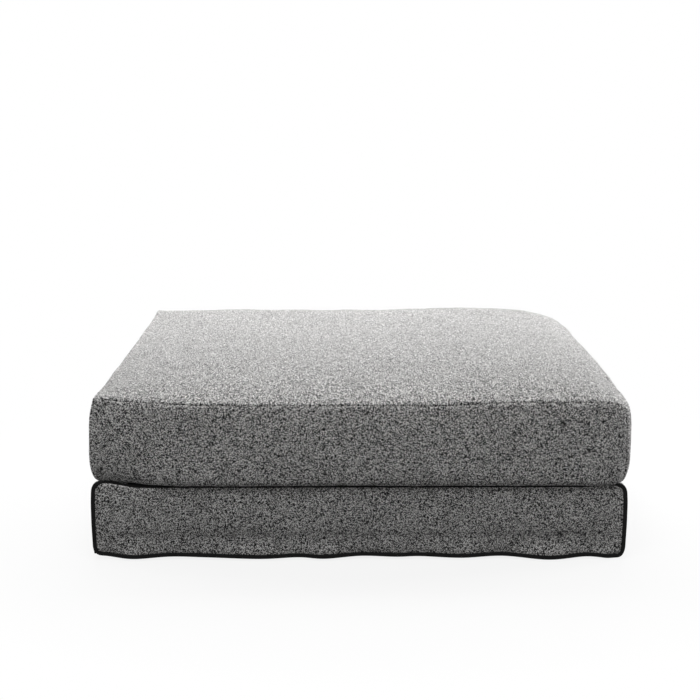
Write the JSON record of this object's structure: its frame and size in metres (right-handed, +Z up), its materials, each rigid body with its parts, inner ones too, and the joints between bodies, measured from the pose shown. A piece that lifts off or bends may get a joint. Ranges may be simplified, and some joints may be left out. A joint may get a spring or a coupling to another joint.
{
  "type": "upholstered ottoman",
  "caption": "Low square ottoman: a loose tweed box cushion on a sprung timber base in a loose cover with flat black trim and a gently wavy hem.",
  "frame": {"origin": "on the floor, under the middle of the ottoman", "axes": "+Z up, the front faces -Y, +X to the right as seen from the front"},
  "size_m": [1.21, 1.2082, 0.4043],
  "materials": {
    "tweed": "salt-and-pepper grey tweed",
    "trim": "matte black ribbed woven trim",
    "lining": "dark plain lining cloth",
    "webbing": "woven elastic webbing",
    "foam": "open-cell foam",
    "fibre": "white fibre wadding",
    "grip": "hook and loop tape",
    "timber": "planed pine",
    "glide": "moulded black plastic",
    "steel": "zinc-plated steel",
    "zip_cloth": "woven zip tape",
    "zip_metal": "dark coated zip metal"
  },
  "bodies": {
    "base": {"foot_front_left": "glide", "foot_front_right": "glide", "foot_back_left": "glide", "foot_back_right": "glide", "foot_centre": "glide", "foot_bolts": "steel", "rail_front": "timber", "rail_back": "timber", "rail_left": "timber", "rail_right": "timber", "rail_centre": "timber", "block_front_left": "timber", "block_front_right": "timber", "block_back_left": "timber", "block_back_right": "timber", "rail_screws": "steel", "webbing_long": "webbing", "webbing_cross": "webbing", "webbing_staples": "steel", "deck_felt": "lining", "deck_pad": "foam", "pad_front": "foam", "pad_back": "foam", "pad_left": "foam", "pad_right": "foam", "dust_cover": "lining", "hook_tape": "grip", "loop_tape": "grip", "cover_deck": "lining", "cover_front": "tweed", "cover_back": "tweed", "cover_left": "tweed", "cover_right": "tweed", "trim_front": "trim", "trim_back": "trim", "trim_left": "trim", "trim_right": "trim"},
    "cushion": {"cushion_core": "foam", "fibre_upper": "fibre", "fibre_lower": "fibre", "cushion_top": "tweed", "cushion_bottom": "tweed", "boxing_front": "tweed", "boxing_left": "tweed", "boxing_right": "tweed", "boxing_back_lower": "tweed", "boxing_back_upper": "tweed", "zip_tapes": "zip_cloth", "zip_coils": "zip_cloth", "zip_stops": "zip_metal"},
    "zip_slider": {"zip_slider": "zip_metal"},
    "zip_pull": {"zip_pull": "zip_metal"}
  },
  "joints": [
    {"name": "cushion_lift", "type": "slide", "parent": "base", "child": "cushion", "axis": [0, 0, 1], "range_m": [0, 0.35]},
    {"name": "zip_run", "type": "slide", "parent": "cushion", "child": "zip_slider", "axis": [-1, 0, 0], "range_m": [0, 1.02]},
    {"name": "zip_pull_turn", "type": "hinge", "parent": "zip_slider", "child": "zip_pull", "pos_m": [0.51, 0.6012, 0.2663], "axis": [0, 0, 1], "range_deg": [0, 170]}
  ]
}
